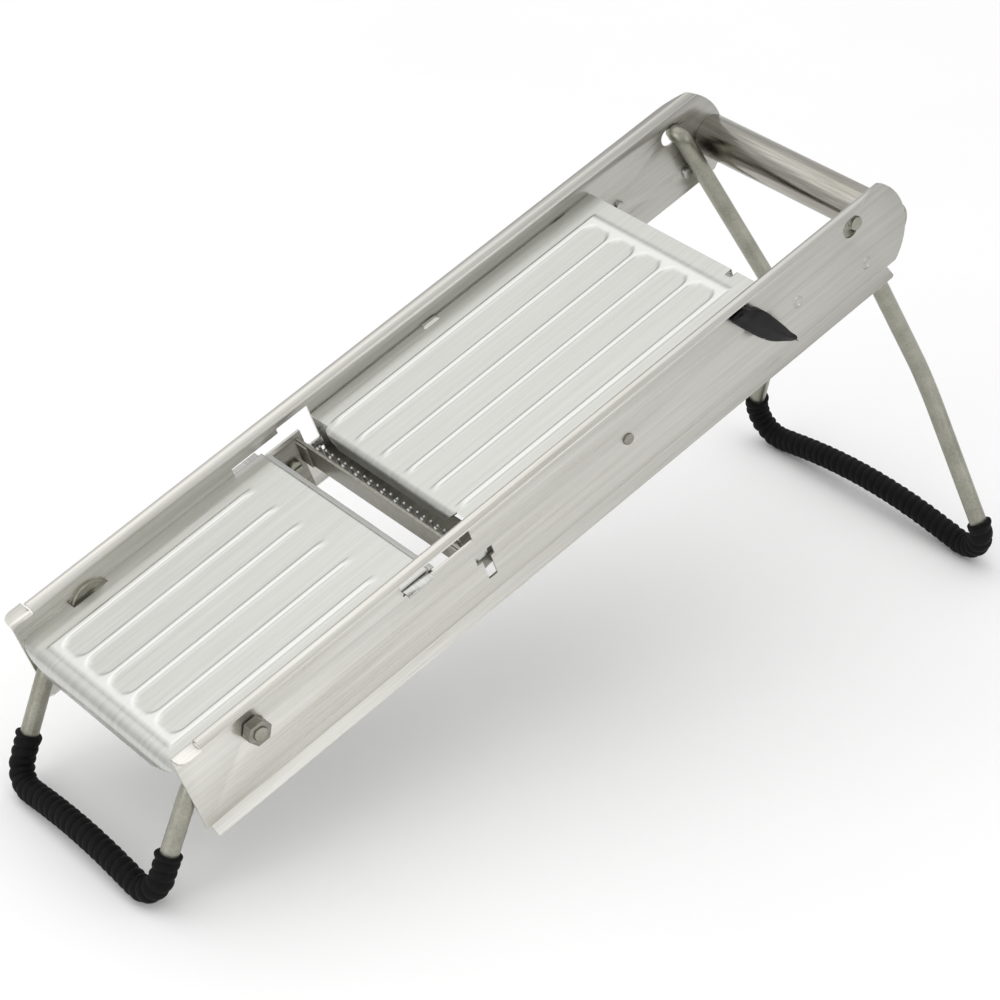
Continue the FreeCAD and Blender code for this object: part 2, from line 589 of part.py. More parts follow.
circle(bore, dx, dz, "shaftWide / 2")
pocket(lever, bore, "lever_bore", "12")

# ---- handle ----
tube = bar("tube_outside", tubePlace, f"0 - {innerFace}", "0 - tubeDrop", "tubeWide / 2",
           f"2 * {innerFace}")
hollow = bar("tube_inside", tubePlace, f"0 - {innerFace} - 1", "0 - tubeDrop",
             "tubeWide / 2 - tubeWall", f"2 * {innerFace} + 2")
keep(cut("tube_cut", tube, hollow), "handle_tube")

bosses = []
for side, start in (("near", f"0 - {innerFace}"), ("far", f"{innerFace} - bossThick")):
    disc = bar(f"{side}_boss_disc", "frontPivot", start, "0 - frontPivotDrop", "bossWide / 2",
               "bossThick")
    bore = bar(f"{side}_boss_bore", "frontPivot", f"{start} - 1", "0 - frontPivotDrop",
               "stubRod / 2 + pivotFit", "bossThick + 2")
    bosses.append(cut(f"{side}_boss_cut", disc, bore))
keep(group("boss_pair", bosses), "front_pivot_washers")


# ---- folding legs: one bent rod each, with a sleeve on its foot bar ----
def inPlane(start, reach, degrees):
    turn = math.radians(degrees)
    return start + V(reach * math.cos(turn), 0, -reach * math.sin(turn))


def roundedPath(points, radii):
    """A wire through points with an arc of the given radius at every inner corner."""
    edges = []
    last = points[0]
    for i in range(1, len(points) - 1):
        before = (points[i - 1] - points[i]).normalize()
        after = (points[i + 1] - points[i]).normalize()
        half = before.getAngle(after) / 2
        away = radii[i - 1] / math.tan(half)
        start = points[i] + before * away
        end = points[i] + after * away
        spine = (before + after).normalize()
        middle = points[i] + spine * (radii[i - 1] / math.sin(half) - radii[i - 1])
        if (start - last).Length > 0.001:
            edges.append(Part.makeLine(last, start))
        edges.append(Part.Arc(start, middle, end).toShape())
        last = end
    edges.append(Part.makeLine(last, points[-1]))
    return Part.Wire(edges)


def pipe(path, radius):
    start = path.OrderedEdges[0]
    first = start.valueAt(start.FirstParameter)
    heading = start.tangentAt(start.FirstParameter)
    ring = Part.Wire([Part.makeCircle(radius, first, heading)])
    solid = path.makePipeShell([ring], True, True)
    if solid.Volume < 0:
        solid.reverse()
    return solid


def mirrored(points):
    return [V(point.x, -point.y, point.z) for point in reversed(points)]


def solidPart(label, shape):
    """For pieces whose centre line leaves every plane."""
    thing = doc.addObject("Part::Feature", label)
    thing.Shape = shape
    return keep(thing, label)


rodRadius = value("legRod / 2")


def leg(name, top, stubEnd):
    """One bent rod and its foot sleeve, from sizes that start with the leg's name."""
    side = value(f"{innerFace} - {name}Inset")
    knee = inPlane(top, value(f"{name}Upper"), value(f"{name}UpperAngle"))
    foot = inPlane(knee, value(f"{name}Lower"), value(f"{name}LowerAngle"))
    knee.y = -side - value(f"{name}KneeOut")
    foot.y = -side - value(f"{name}FootOut")
    bend = value("legBend")
    kneeBend = value(f"{name}KneeBend")
    footBend = value(f"{name}FootBend")
    shoulder = side + bend * 1.12
    start = V(top.x, -shoulder, top.z)
    half = [start, V(top.x, -side, top.z), knee, foot]
    crown = V(foot.x, 0, foot.z) + up * value(f"{name}Arch")
    crownBend = 0.55 * foot.y ** 2 / value(f"{name}Arch")
    bends = [bend, kneeBend, footBend, crownBend, footBend, kneeBend, bend]
    rod = pipe(roundedPath(half + [crown] + mirrored(half), bends), rodRadius)
    stubs = []
    for sign in (-1, 1):
        base = V(top.x, sign * (shoulder - 0.5), top.z)
        stubs.append(Part.makeCylinder(value("stubRod / 2"), stubEnd - shoulder + 0.5, base,
                                       V(0, sign, 0)))
    solidPart(f"{name}_leg", rod.fuse(stubs).removeSplitter())
    above = (knee - foot).normalize()
    pipes = []
    for extra, radius in ((0, rodRadius + value("sleeveWall")), (2, rodRadius)):
        half = [foot + above * (value(f"{name}Sleeve") + extra), foot]
        path = roundedPath(half + [crown] + mirrored(half), bends[2:5])
        pipes.append(pipe(path, radius))
    solidPart(f"{name}_foot_sleeve", pipes[0].cut(pipes[1]))
    return foot


frontTop = V(value("frontPivot"), 0, -value("frontPivotDrop"))
rearTop = V(value(rearPivot), 0, -value("rearPivotDrop"))
frontFoot = inPlane(inPlane(frontTop, value("frontUpper"), value("frontUpperAngle")),
                    value("frontLower"), value("frontLowerAngle"))
rearFoot = inPlane(inPlane(rearTop, value("rearUpper"), value("rearUpperAngle")),
                   value("rearLower"), value("rearLowerAngle"))
slope = math.atan2(frontFoot.z - rearFoot.z, rearFoot.x - frontFoot.x)
up = V(math.sin(slope), 0, math.cos(slope))
leg("front", frontTop, value("frameWidth / 2 + nutHigh + 1.1"))
leg("rear", rearTop, value("frameWidth / 2 + 0.9"))

nuts = []
for side, start in (("near", "0 - frameWidth / 2 - nutHigh - 0.3"), ("far", "frameWidth / 2 + 0.3")):
    nut = hexBar(f"front_{side}_nut", "frontPivot", start, "0 - frontPivotDrop", "nutAcross",
                 "nutHigh")
    bore = bar(f"front_{side}_nut_bore", "frontPivot", f"{start} - 1", "0 - frontPivotDrop",
               "stubRod / 2", "nutHigh + 2")
    nuts.append(cut(f"front_{side}_nut_cut", nut, bore))
keep(group("nut_pair", nuts), "front_pivot_nuts")

doc.recompute()

# ---- set the slicer down on both feet and write the pieces ----
feet = {thing.Label: thing.Shape for thing in parts if thing.Label.endswith("foot_sleeve")}


def lowest(shape, degrees):
    turned = shape.copy()
    turned.rotate(V(0, 0, 0), V(0, -1, 0), degrees)
    box = turned.optimalBoundingBox(False, False)
    return box.ZMin, box


angle = math.degrees(slope)
for step in range(4):
    frontLow = lowest(feet["front_foot_sleeve"], angle)[0]
    rearLow = lowest(feet["rear_foot_sleeve"], angle)[0]
    angle -= math.degrees((rearLow - frontLow) / (rearFoot.x - frontFoot.x))
everything = Part.makeCompound([thing.Shape for thing in parts])
floorBox = lowest(everything, angle)[1]
floor = lowest(feet["front_foot_sleeve"], angle)[0]
stand = FreeCAD.Placement(V(-(floorBox.XMin + floorBox.XMax) / 2, 0, -floor),
                          FreeCAD.Rotation(V(0, -1, 0), angle))
for thing in parts:
    thing.Placement = stand
doc.recompute()

for thing in doc.Objects:
    bad = [state for state in thing.State if state in ("Invalid", "Error")]
    if bad:
        raise RuntimeError(f"{thing.Name} is {bad}")
for thing in parts:
    shape = thing.Shape
    if shape.isNull() or not shape.isValid() or shape.Volume < 1:
        raise RuntimeError(f"{thing.Label} has no valid shape")
    if thing.TypeId == "PartDesign::Body" and len(shape.Solids) != 1:
        raise RuntimeError(f"{thing.Label} is {len(shape.Solids)} solids")
    shape.exportStep(f"parts/{thing.Label}.step")
    print(f"{thing.Label}: {shape.Volume / 1000:.2f} cm3")
print(f"tilt {angle:.4f} deg, shift x {stand.Base.x:.4f}, z {stand.Base.z:.4f}")
print(f"{len(parts)} pieces")
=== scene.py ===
import bmesh
import bpy
import json
import math
import numpy as np
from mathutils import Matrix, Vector

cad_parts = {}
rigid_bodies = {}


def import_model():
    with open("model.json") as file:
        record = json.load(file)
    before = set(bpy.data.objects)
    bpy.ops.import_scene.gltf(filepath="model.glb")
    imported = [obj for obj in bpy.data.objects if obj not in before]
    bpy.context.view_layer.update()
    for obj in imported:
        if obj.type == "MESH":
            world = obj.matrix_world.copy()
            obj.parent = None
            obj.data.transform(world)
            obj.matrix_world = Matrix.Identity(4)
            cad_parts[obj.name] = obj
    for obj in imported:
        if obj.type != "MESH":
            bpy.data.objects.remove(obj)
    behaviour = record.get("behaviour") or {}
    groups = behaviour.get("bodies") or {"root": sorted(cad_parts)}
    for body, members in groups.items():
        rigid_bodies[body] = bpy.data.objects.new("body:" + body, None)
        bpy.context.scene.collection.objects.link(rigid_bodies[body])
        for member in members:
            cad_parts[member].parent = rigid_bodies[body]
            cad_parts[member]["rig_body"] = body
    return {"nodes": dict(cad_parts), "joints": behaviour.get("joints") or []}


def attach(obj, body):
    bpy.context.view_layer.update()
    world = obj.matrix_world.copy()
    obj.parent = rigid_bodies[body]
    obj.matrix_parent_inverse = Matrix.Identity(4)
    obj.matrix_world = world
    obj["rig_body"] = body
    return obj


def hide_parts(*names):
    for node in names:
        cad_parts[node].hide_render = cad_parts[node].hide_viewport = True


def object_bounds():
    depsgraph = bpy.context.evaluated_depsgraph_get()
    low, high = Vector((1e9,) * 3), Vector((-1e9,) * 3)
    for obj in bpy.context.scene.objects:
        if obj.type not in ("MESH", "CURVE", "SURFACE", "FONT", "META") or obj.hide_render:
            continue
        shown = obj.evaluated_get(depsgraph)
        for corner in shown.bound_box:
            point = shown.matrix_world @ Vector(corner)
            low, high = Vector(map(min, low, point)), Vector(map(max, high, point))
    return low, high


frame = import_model()
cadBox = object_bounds()
nodes = frame["nodes"]
joints = {joint["name"]: joint for joint in frame["joints"]}
print("frame loaded:", len(nodes), "nodes")

# The slicer's own axes: x up the rails, y to the far side, z square to the tables
railUp = Vector(joints["coarse_comb_lift"]["axis"])
tilt = math.atan2(-railUp.x, railUp.z)
frontPivot = np.array(joints["front_leg_fold"]["pos_m"]) * 1000
railPivot = np.array([35.0, 0.0, -5.8])  # the same pivot in rail millimetres
cosTilt, sinTilt = math.cos(tilt), math.sin(tilt)


def fromRail(points):
    # rail millimetres to frame metres: turn about y by the tilt, then shift so the front pivot fits
    away = np.asarray(points, float) - railPivot
    turned = np.empty_like(away)
    turned[:, 0] = away[:, 0] * cosTilt - away[:, 2] * sinTilt
    turned[:, 1] = away[:, 1]
    turned[:, 2] = away[:, 0] * sinTilt + away[:, 2] * cosTilt
    return (turned + frontPivot) / 1000


# Small tools for materials
def linear(hexColour):
    # sRGB hex to linear: each channel by the sRGB curve
    channels = [int(hexColour[i:i + 2], 16) / 255 for i in (1, 3, 5)]
    return (*[c / 12.92 if c <= 0.04045 else ((c + 0.055) / 1.055) ** 2.4 for c in channels], 1.0)


def addNode(tree, kind, settings=None, **links):
    # settings fill inputs of that name, or else the node's own options; links join the inputs
    node = tree.nodes.new(kind)
    for name, value in (settings or {}).items():
        if name in node.inputs:
            node.inputs[name].default_value = value
        else:
            setattr(node, name, value)
    for name, source in links.items():
        tree.links.new(source, node.inputs[name.replace("_", " ")])
    return node


def newMaterial(name):
    material = bpy.data.materials.new(name)
    material.use_nodes = True
    tree = material.node_tree
    tree.nodes.clear()
    shader = addNode(tree, "ShaderNodeBsdfPrincipled")
    output = addNode(tree, "ShaderNodeOutputMaterial")
    tree.links.new(shader.outputs["BSDF"], output.inputs["Surface"])
    place = addNode(tree, "ShaderNodeTexCoord")
    return material, tree, shader, place.outputs["Object"]


def ramp(tree, source, stops):
    node = addNode(tree, "ShaderNodeValToRGB", None, Fac=source)
    ends = node.color_ramp.elements
    ends[0].position, ends[0].color = stops[0]
    ends[1].position, ends[1].color = stops[-1]
    for position, colour in stops[1:-1]:
        ends.new(position).color = colour
    return node.outputs["Color"]


def grey(value):
    return (value, value, value, 1.0)


def finishShader(tree, shader, colour, finish, height, bump, depth):
    lift = addNode(tree, "ShaderNodeBump", {"Strength": bump, "Distance": depth}, Height=height)
    tree.links.new(colour, shader.inputs["Base Color"])
    tree.links.new(finish, shader.inputs["Roughness"])
    tree.links.new(lift.outputs[0], shader.inputs["Normal"])


brushed = {
    # grain: scratches, millimetres across and along; streak: the slower grinding bands;
    # fade: how much the far end of the grain axis is painted darker, a painted shade for the dimmer
    # reflection there
    # rolled stainless sheet, belt ground along the rails
    "tableSheet": dict(light="#d3d3cf", dark="#bdbeb8", rough=(0.26, 0.42), grain=(0.5, 30.0),
                       streak=(2.6, 150.0), alongY=False, fade=0.10, bump=0.12,
                       # the last two settings paint the rib tops toward a lighter tint, a painted
                       # highlight
                       ribHighlight=0.5, ribHighlightTint="#f1f1ee"),
    # the side plates are ground along their length and a little warmer
    "plateSheet": dict(light="#eeede8", dark="#d5d3ca", rough=(0.24, 0.40), grain=(0.6, 40.0),
                       streak=(3.4, 190.0), alongY=False, fade=0.42, bump=0.12),
    # the handle tube is polished round, so the grain runs along y
    "handleTube": dict(light="#b9b6ae", dark="#8d8a81", rough=(0.14, 0.24), grain=(0.45, 18.0),
                       streak=(2.0, 60.0), alongY=True, fade=0.0, bump=0.05),
    # ground blade stock, finer grit
    "bladeStrip": dict(light="#d4d4d1", dark="#adada9", rough=(0.18, 0.32), grain=(0.3, 14.0),
                       streak=(1.5, 60.0), alongY=True, fade=0.0, bump=0.05),
    # brackets, runners and cranks in plain rolled sheet
    "innerSheet": dict(light="#a5a39a", dark="#7f7d74", rough=(0.34, 0.50), grain=(0.5, 12.0),
                       streak=(2.2, 50.0), alongY=False, fade=0.0, bump=0.06),
}


def groundStainless(name):
    # stainless sheet, belt ground: two stretched noises, one for scratches and one for the slower
    # bands between passes, read in the rails' own directions
    look = brushed[name]
    material, tree, shader, place = newMaterial(f"groundStainless_{name}")
    level = addNode(tree, "ShaderNodeMapping", {"vector_type": "TEXTURE"}, Vector=place)
    level.inputs["Rotation"].default_value = (0.0, -tilt, 0.0)
    if name == "tableSheet":
        # the tables carry their own place along the sheet, so the grain goes round the fold
        level = addNode(tree, "ShaderNodeAttribute", {"attribute_name": "sheetPlace"})
    flat = level.outputs["Vector"]

    def bands(across, along, detail):
        fine, long = 1000 / across, 1000 / along
        stretch = (fine, long, fine) if look["alongY"] else (long, fine, fine)
        squeeze = addNode(tree, "ShaderNodeMapping", {"Scale": stretch}, Vector=flat)
        return addNode(tree, "ShaderNodeTexNoise", {"Scale": 1.0, "Detail": detail, "Roughness": 0.6},
                       Vector=squeeze.outputs[0]).outputs["Fac"]

    scratch, streak = bands(*look["grain"], 4.0), bands(*look["streak"], 3.0)
    tint = addNode(tree, "ShaderNodeMix", {"data_type": "FLOAT", "Factor": 0.5}, A=scratch, B=streak)
    colour = ramp(tree, tint.outputs[0], [(0.34, linear(look["dark"])), (0.66, linear(look["light"]))])
    # painted shade: the colour is scaled darker towards the high end of the rails, standing in for the
    # dimmer reflection there
    along = addNode(tree, "ShaderNodeSeparateXYZ", Vector=flat).outputs["X"]
    paintedFalloff = addNode(tree, "ShaderNodeMapRange", {"From Min": -0.22, "From Max": 0.22, "To Min": 1.0,
                                                "To Max": 1.0 - look["fade"]}, Value=along)
    scaled = addNode(tree, "ShaderNodeVectorMath", {"operation": "SCALE"}, Scale=paintedFalloff.outputs[0])
    if name == "tableSheet":
        # painted highlight: rib tops are painted lighter, standing in for the highlight the raised
        # ribs catch
        ribHighlight = addNode(tree, "ShaderNodeAttribute", {"attribute_name": "ribHighlight"}).outputs["Fac"]
        share = addNode(tree, "ShaderNodeMath", {"operation": "MULTIPLY"})
        tree.links.new(ribHighlight, share.inputs[0])
        share.inputs[1].default_value = look["ribHighlight"]
        highlightMix = addNode(tree, "ShaderNodeMix", {"data_type": "RGBA"})  # colours are 6, 7 and out 2
        tree.links.new(share.outputs[0], highlightMix.inputs[0])
        tree.links.new(colour, highlightMix.inputs[6])
        highlightMix.inputs[7].default_value = linear(look["ribHighlightTint"])
        colour = highlightMix.outputs[2]
    tree.links.new(colour, scaled.inputs[0])
    low, high = look["rough"]
    finish = ramp(tree, tint.outputs[0], [(0.34, grey(low)), (0.66, grey(high))])
    finishShader(tree, shader, scaled.outputs[0], finish, scratch, look["bump"], 0.0002)
    shader.inputs["Metallic"].default_value = 1.0
    return material


def drawnRod():
    # drawn stainless wire: soft satin with faint die lines and small handling marks
    material, tree, shader, place = newMaterial("drawnStainlessRod")
    cloud = addNode(tree, "ShaderNodeTexNoise", {"Scale": 90.0, "Detail": 5.0}, Vector=place)
    speck = addNode(tree, "ShaderNodeTexNoise", {"Scale": 900.0, "Detail": 2.0}, Vector=place)
    both = addNode(tree, "ShaderNodeMix", {"data_type": "FLOAT", "Factor": 0.4},
                   A=cloud.outputs["Fac"], B=speck.outputs["Fac"])
    colour = ramp(tree, both.outputs[0], [(0.32, linear("#8f8e82")), (0.66, linear("#adaca0"))])
    finish = ramp(tree, both.outputs[0], [(0.3, grey(0.34)), (0.7, grey(0.46))])
    finishShader(tree, shader, colour, finish, speck.outputs["Fac"], 0.05, 0.0002)
    shader.inputs["Metallic"].default_value = 1.0
    return material


def blackRubber():
    # extruded black rubber with a matte, slightly dusty skin: 0.6 mm grain
    material, tree, shader, place = newMaterial("blackRibbedRubber")
    grain = addNode(tree, "ShaderNodeTexNoise", {"Scale": 1600.0, "Detail": 3.0}, Vector=place)
    cloud = addNode(tree, "ShaderNodeTexNoise", {"Scale": 130.0, "Detail": 4.0}, Vector=place)
    both = addNode(tree, "ShaderNodeMix", {"data_type": "FLOAT", "Factor": 0.5},
                   A=grain.outputs["Fac"], B=cloud.outputs["Fac"])
    colour = ramp(tree, both.outputs[0], [(0.35, linear("#010101")), (0.68, linear("#050505"))])
    finish = ramp(tree, both.outputs[0], [(0.3, grey(0.62)), (0.7, grey(0.82))])
    finishShader(tree, shader, colour, finish, both.outputs[0], 0.35, 0.0003)
    shader.inputs["Specular IOR Level"].default_value = 0.2
    return material


def blackNylon():
    # moulded black nylon with a fine spark-eroded texture
    material, tree, shader, place = newMaterial("blackMouldedNylon")
    pit = addNode(tree, "ShaderNodeTexVoronoi", {"Scale": 1400.0}, Vector=place)
    cloud = addNode(tree, "ShaderNodeTexNoise", {"Scale": 160.0, "Detail": 4.0}, Vector=place)
    colour = ramp(tree, cloud.outputs["Fac"], [(0.35, linear("#020202")), (0.68, linear("#070707"))])
    finish = ramp(tree, cloud.outputs["Fac"], [(0.3, grey(0.38)), (0.7, grey(0.55))])
    finishShader(tree, shader, colour, finish, pit.outputs["Distance"], 0.2, 0.0002)
    shader.inputs["Specular IOR Level"].default_value = 0.25
    return material


materials = {name: groundStainless(name) for name in brushed}
materials["rod"] = drawnRod()
materials["rubber"] = blackRubber()
materials["nylon"] = blackNylon()
print("materials ready:", len(materials))


# Small tools for pieces
def addPiece(name, points, faces, body, material, stands=()):
    mesh = bpy.data.meshes.new(name)
    mesh.from_pydata(points.tolist(), [], faces.tolist())
    mesh.update()
    piece = bpy.data.objects.new(name, mesh)
    bpy.context.scene.collection.objects.link(piece)
    mesh.materials.append(material)
    mesh.polygons.foreach_set("use_smooth", np.full(len(mesh.polygons), True))
    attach(piece, body)
    if stands:
        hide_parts(*stands)
    return piece


def gridFaces(rows, columns, closed=False):
    # quads between neighbours of a rows by columns grid, wrapping round the columns if closed
    i = np.arange(rows - 1)[:, None]
    j = np.arange(columns if closed else columns - 1)[None, :]
    a = i * columns + j
    b = i * columns + (j + 1) % columns
    c = (i + 1) * columns + (j + 1) % columns
    d = (i + 1) * columns + j
    return np.stack([a, b, c, d], axis=-1).reshape(-1, 4)


# sharp and coplanar are angles in degrees, merge a distance in metres
edgeWork = {"sharp": 28.0, "segments": 2, "merge": 0.000002, "coplanar": 0.5}


def softenEdges(node, width, material):
    # a merged copy of a CAD node with its sharp edges rounded, as folded or sheared metal has
    source = nodes[node]
    mesh = source.data.copy()
    mesh.name = node + "_worked"
    piece = bpy.data.objects.new(node + "_worked", mesh)
    bpy.context.scene.collection.objects.link(piece)
    work = bmesh.new()
    work.from_mesh(mesh)
    bmesh.ops.remove_doubles(work, verts=work.verts, dist=edgeWork["merge"])
    flat = math.radians(edgeWork["coplanar"])
    bmesh.ops.dissolve_limit(work, angle_limit=flat, verts=work.verts, edges=work.edges)
    for face in work.faces:
        face.smooth = True
    work.to_mesh(mesh)
    work.free()
    mesh.materials.clear()
    mesh.materials.append(material)
    bevel = piece.modifiers.new("edges", "BEVEL")
    bevel.width = width
    bevel.segments = edgeWork["segments"]
    bevel.limit_method = "ANGLE"
    bevel.angle_limit = math.radians(edgeWork["sharp"])
    bevel.harden_normals = True
    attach(piece, source["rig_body"])
    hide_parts(node)
    return piece


def smoothStep(value, low, high):
    # 0 below low, 1 above high, and an S-shaped rise between them
    t = np.clip((value - low) / (high - low), 0.0, 1.0)
    return t * t * (3 - 2 * t)


# Pressed tables
tables = {
    # all in millimetres along the rails; panels are the sunk fields between the ribs; limits are
    # how far the sheet reaches sideways at each x; hem is the low fold's radius and depth, and
    # hemSides its reach at the bottom and top; back is the depth of the high end's fold
    "receiving": dict(node="receiving_table", body="frame", flat=(3.5, 129.5), top=0.0, hem=(5.0, 9.0),
                      hemSides=(36.0, 57.3),
                      limits=[(3.5, 57.3), (26.0, 57.3), (26.02, 53.8), (43.98, 53.8), (44.0, 57.3),
                              (200.0, 57.3)],
                      panels=(10.6, 200.0), fade=(108.0, 115.0), frame=(6.0, 44.4), back=0.0),
    "feed": dict(node="feed_table", body="feed", flat=(156.5, 319.5), top=1.0, hem=(3.0, 8.0),
                 hemSides=(36.0, 44.0),
                 limits=[(155.0, 46.0), (156.5, 56.8), (319.49, 56.8), (319.5, 52.8)],
                 panels=(100.0, 305.6), fade=(157.0, 163.0), frame=(310.6, 44.4), back=4.5),
}
# walls are where a slope starts and ends, measured out from its outline
ribs = dict(count=6, pitch=17.0, width=3.0, high=0.7, corner=5.0, wall=(-0.35, 0.75),
            sideWall=(-0.5, 0.7), endWall=(0.5, 0.8))
stops = dict(low=(219.3, 220.3), high=(227.2, 228.2), side=(53.9, 54.9))  # side stops of the feed
notch = dict(deep=3.0, side=(-38.8, -34.8))  # in the feed table's back edge
sheet = dict(thick=1.0, backEase=0.4, step=1.1, columns=251, turn=9, middle=198.0)


def ribHeight(x, y, table):
    # rib network: full height, less every sunk panel. A panel is a rounded rectangle, and its
    # wall rises by the signed distance from that outline
    low, high = table["panels"]
    halfPanel = (ribs["pitch"] - ribs["width"]) / 2
    corner = ribs["corner"]
    # distance across to the nearest panel centre line
    row = np.round(y / ribs["pitch"])
    row = np.clip(row, 1 - ribs["count"] // 2, ribs["count"] // 2 - 1)
    across = np.abs(y - row * ribs["pitch"])
    along = np.maximum(low - x, x - high)
    qx = along + corner
    qy = across - halfPanel + corner
    outside = np.hypot(np.maximum(qx, 0), np.maximum(qy, 0)) + np.minimum(np.maximum(qx, qy), 0)
    height = smoothStep(outside - corner, *ribs["wall"])
    # the network's outer frame at the sides and at one end, then the fade at the other end
    end, side = table["frame"]
    outer, inner = ribs["endWall"]
    height = height * smoothStep(side - np.abs(y), *ribs["sideWall"])
    if table["node"] == "receiving_table":
        height = height * smoothStep(x, end - outer, end + inner)
        height = height * (1 - smoothStep(x, *table["fade"]))
    else:
        height = height * (1 - smoothStep(x, end - inner, end + outer))
        height = height * smoothStep(x, *table["fade"])
    return height * ribs["high"]


def pressedTable(table):
    # profile: hem bottom, quarter round of the hem radius, flat, then a square back fold; carried
    # across the width up to the limit at each x, with the rib network added to the flat's height
    start, end = table["flat"]
    radius, deep = table["hem"]
    top = table["top"]
    turn = np.linspace(math.pi, math.pi / 2, sheet["turn"])[1:-1]
    keys = [x for x, side in table["limits"] if start <= x <= end]
    even = np.linspace(start, end, int((end - start) / sheet["step"]))
    flatX = np.unique(np.concatenate([even, keys, [start, end], stops["low"], stops["high"]]))
    flatX = flatX[(flatX >= start) & (flatX <= end)]
    x = np.concatenate([[start - radius] * 2, start + radius * np.cos(turn), [start - 0.01], flatX])
    z = np.concatenate([[top - deep, top - radius], top - radius + radius * np.sin(turn), [top],
                        np.full(len(flatX), top)])
    if table["back"]:
        x = np.append(x, [end, end])
        z = np.append(z, [top - sheet["backEase"], top - table["back"]])
    knots, sides = zip(*table["limits"])
    limit = np.interp(x, knots, sides)
    folded = x < start
    limit[folded] = np.interp(z[folded], [top - deep, top], table["hemSides"])
    if table["back"]:
        limit[-2:] = sides[-1]
    half = max(sides)
    even = np.linspace(-half, half, sheet["columns"])
    y = np.unique(np.concatenate([even, sides, np.negative(sides)]))
    gridX = np.repeat(x[:, None], len(y), axis=1)
    gridY = np.clip(y[None, :], -limit[:, None], limit[:, None])
    gridZ = np.repeat(z[:, None], len(y), axis=1)
    onFlat = ((gridX >= start) & (gridZ == top)).astype(float)
    raised = onFlat * ribHeight(gridX, gridY, table)
    gridZ = gridZ + raised
    if table["back"]:
        # two small stops pressed up at the sides
        stop = smoothStep(gridX, *stops["low"]) * (1 - smoothStep(gridX, *stops["high"]))
        gridZ = gridZ + onFlat * stop * smoothStep(np.abs(gridY), *stops["side"]) * ribs["high"]
    points = np.stack([gridX, gridY, gridZ], axis=-1).reshape(-1, 3)
    faces = gridFaces(len(x), len(y))
    # drop the quads that the side limit has squeezed flat, and the notch in the feed's back edge
    width = np.ptp(points[faces][:, :, 1], axis=1)
    middle = points[faces].mean(axis=1)
    keep = width > 0.001
    if table["back"]:
        near, far = notch["side"]
        keep &= ~((middle[:, 0] > end - notch["deep"]) & (middle[:, 1] > near) & (middle[:, 1] < far))
    faces = faces[keep]
    piece = addPiece(table["node"] + "_pressed", fromRail(points), faces[:, ::-1],
                     table["body"], materials["tableSheet"], [table["node"]])
    # painted highlight: rib height is stored per point so the shader paints the rib tops lighter
    ribHighlight = piece.data.attributes.new("ribHighlight", "FLOAT", "POINT")
    ribHighlight.data.foreach_set("value", (raised / ribs["high"]).ravel())
    # distance along the profile, then across, less the middle of the rails
    run = np.concatenate([[0], np.cumsum(np.hypot(np.diff(x), np.diff(z)))]) + x[0] - sheet["middle"]
    place = np.stack([np.repeat(run[:, None], len(y), axis=1), gridY, 0 * gridY], axis=-1) / 1000
    sheetPlace = piece.data.attributes.new("sheetPlace", "FLOAT_VECTOR", "POINT")
    sheetPlace.data.foreach_set("vector", place.ravel())
    work = bmesh.new()
    work.from_mesh(piece.data)
    bmesh.ops.remove_doubles(work, verts=work.verts, dist=edgeWork["merge"])
    bmesh.ops.delete(work, geom=[v for v in work.verts if not v.link_faces], context="VERTS")
    work.to_mesh(piece.data)
    work.free()
    wall = piece.modifiers.new("sheet", "SOLIDIFY")
    wall.thickness = sheet["thick"] / 1000
    wall.offset = -1.0
    return piece


for table in tables.values():
    pressedTable(table)
print("tables pressed")

# Foot sleeves
legs = {
    "front": dict(knee=(5.0, 52.3, -14.0), foot=(-30.7, 51.5, -53.0), arch=5.1, footBend=10.6,
                  crownBend=286.0, sleeve=21.4, body="front"),
    "rear": dict(knee=(393.0, 46.9, -116.8), foot=(378.2, 83.5, -206.8), arch=12.4, footBend=14.0,
                 crownBend=309.3, sleeve=24.0, body="rear"),
}
# lip, lipAt and lipWide flare the cut ends; fit is the gap round the rod, cut their chamfer
sleeveLook = dict(rod=4.0, outer=5.55, ridge=0.95, pitch=4.2, sharp=0.6, wobble=0.10, lip=0.45,
                  lipAt=0.9, lipWide=1.1, fit=0.03, cut=0.5, round=40, step=0.3)


def bentPath(corners, bends, step):
    # straight runs joined by tangent arcs, then resampled evenly by arc length
    runs = [corners[0][None, :]]
    for i in range(1, len(corners) - 1):
        before = corners[i - 1] - corners[i]
        after = corners[i + 1] - corners[i]
        before, after = before / np.linalg.norm(before), after / np.linalg.norm(after)
        half = math.acos(float(np.clip(before @ after, -1, 1))) / 2
        away = bends[i - 1] / math.tan(half)
        spine = (before + after) / np.linalg.norm(before + after)
        centre = corners[i] + spine * bends[i - 1] / math.sin(half)
        u = (corners[i] + before * away - centre) / bends[i - 1]
        w = (corners[i] + after * away - centre) / bends[i - 1]
        turn = math.pi - 2 * half
        t = np.linspace(0, 1, 60)[:, None]
        arc = (np.sin((1 - t) * turn) * u + np.sin(t * turn) * w) / math.sin(turn)
        runs.append(centre + bends[i - 1] * arc)
    runs.append(corners[-1][None, :])
    dense = np.vstack(runs)
    steps = np.linalg.norm(np.diff(dense, axis=0), axis=1)
    length = np.concatenate([[0], np.cumsum(steps)])
    even = np.linspace(0, length[-1], int(length[-1] / step) + 1)
    path = np.stack([np.interp(even, length, dense[:, k]) for k in range(3)], axis=1)
    return path, even


